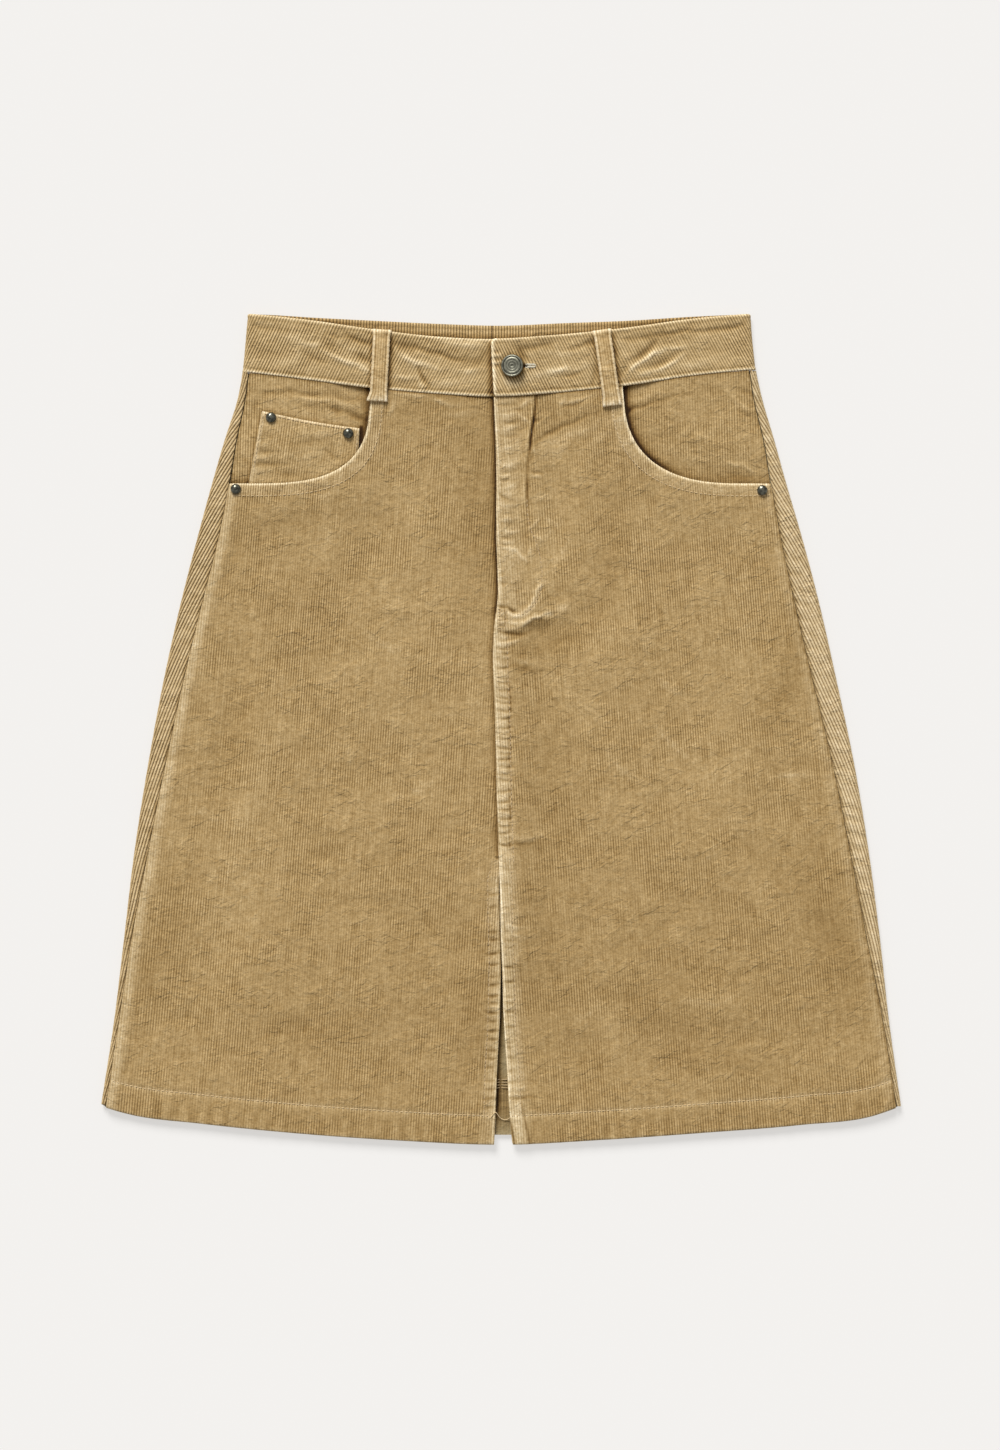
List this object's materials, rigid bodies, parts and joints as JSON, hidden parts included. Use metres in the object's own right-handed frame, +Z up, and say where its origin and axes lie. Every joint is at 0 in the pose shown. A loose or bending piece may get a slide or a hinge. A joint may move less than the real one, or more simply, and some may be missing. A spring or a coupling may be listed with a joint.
{
  "type": "a-line skirt",
  "caption": "Corduroy A-line skirt laid flat, with waistband and button tab, zip fly, curved front pockets, coin pocket, belt loops and a centre front slit.",
  "frame": {"origin": "under the middle of the whole skirt, on the surface it lies on", "axes": "+X across the skirt, +Y from hem to waist, +Z up out of the front"},
  "size_m": [0.5752, 0.5972, 0.0155],
  "materials": {
    "corduroy": "fine cotton corduroy, matt pile",
    "gunmetal": "antiqued dark brass",
    "zip": "woven zip tape"
  },
  "bodies": {
    "root": {"back": "corduroy", "front_left": "corduroy", "front_right": "corduroy", "pocket_bearer_left": "corduroy", "pocket_bearer_right": "corduroy", "waistband_left": "corduroy", "waistband_right": "corduroy", "coin_pocket": "corduroy", "belt_loop_left": "corduroy", "belt_loop_right": "corduroy", "fly_zip": "zip", "button": "gunmetal", "rivet_coin_outer": "gunmetal", "rivet_coin_inner": "gunmetal", "rivet_pocket_left": "gunmetal", "rivet_pocket_right": "gunmetal"}
  },
  "joints": []
}
